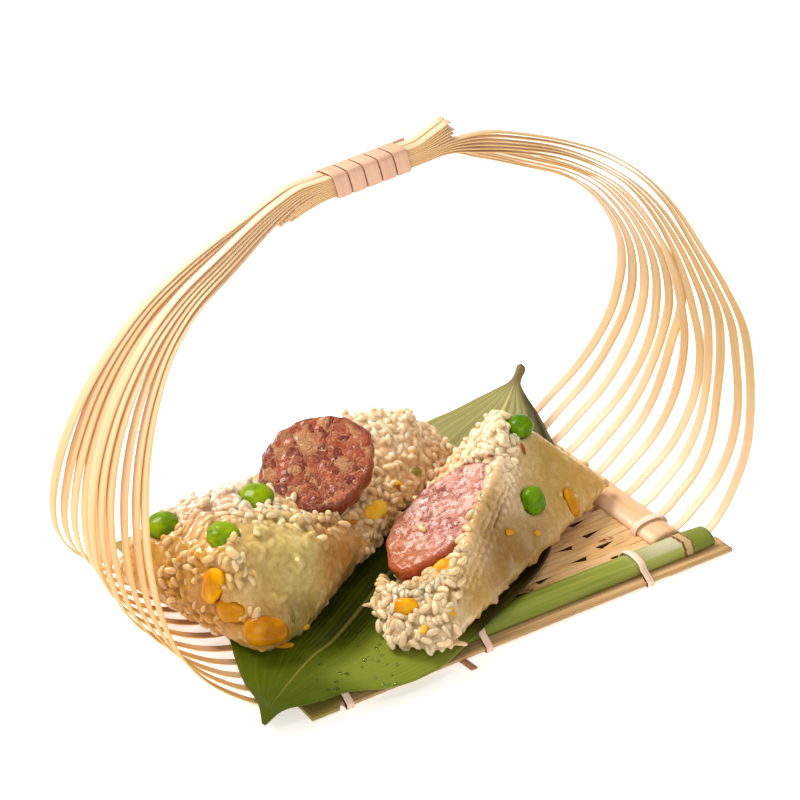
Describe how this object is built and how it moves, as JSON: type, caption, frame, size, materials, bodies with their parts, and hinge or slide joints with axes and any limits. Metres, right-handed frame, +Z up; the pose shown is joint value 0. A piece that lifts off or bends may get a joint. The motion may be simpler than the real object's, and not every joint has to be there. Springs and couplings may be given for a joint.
{
  "type": "corn and pea zongzi in a bamboo basket",
  "caption": "Corn and pea sticky rice dumplings, torn open to show their sausage, on a leaf in a woven bamboo tray basket with a hoop handle of split strips.",
  "frame": {"origin": "middle of the underside of the seventh handle strip, on the surface the basket stands on", "axes": "+X along the tray, towards the end where it stands empty; +Y from front to back; +Z up"},
  "size_m": [0.2016, 0.1065, 0.1367],
  "materials": {
    "split_bamboo": "dry split bamboo, satin",
    "binding": "smooth pinkish bamboo skin, satin",
    "dried_tie": "dried, matt",
    "woven_mat": "woven split bamboo, matt",
    "green_cane": "green bamboo skin, satin",
    "pale_cane": "peeled bamboo, satin",
    "slat": "split bamboo, matt",
    "bamboo_leaf": "wet leaf, ribbed along its length",
    "sticky_rice": "moist cooked grains",
    "sausage": "moist cut face with fat",
    "green_pea": "moist skin",
    "sweetcorn": "moist skin"
  },
  "bodies": {
    "root": {"strip_01": "split_bamboo", "strip_02": "split_bamboo", "strip_03": "split_bamboo", "strip_04": "split_bamboo", "strip_05": "split_bamboo", "strip_06": "split_bamboo", "strip_07": "split_bamboo", "strip_08": "split_bamboo", "strip_09": "split_bamboo", "strip_10": "split_bamboo", "strip_11": "split_bamboo", "strip_12": "split_bamboo", "wrap": "binding", "tie_front_1": "binding", "tie_front_2": "binding", "tie_front_3": "binding", "tie_back_1": "binding", "tie_back_2": "binding", "tie_back_3": "binding", "tie_left": "binding", "tie_right": "binding", "tie_tail": "dried_tie", "mat": "woven_mat", "rim_front": "green_cane", "rim_back": "green_cane", "rim_left": "pale_cane", "rim_right": "pale_cane", "slat_front": "slat", "slat_back": "slat", "leaf": "bamboo_leaf", "rice_left": "sticky_rice", "rice_right": "sticky_rice", "sausage_left": "sausage", "sausage_right": "sausage", "pea_1": "green_pea", "pea_2": "green_pea", "pea_3": "green_pea", "pea_4": "green_pea", "pea_5": "green_pea", "corn_1": "sweetcorn", "corn_2": "sweetcorn", "corn_3": "sweetcorn", "corn_4": "sweetcorn", "corn_5": "sweetcorn", "corn_6": "sweetcorn", "corn_7": "sweetcorn", "corn_8": "sweetcorn"}
  },
  "joints": []
}
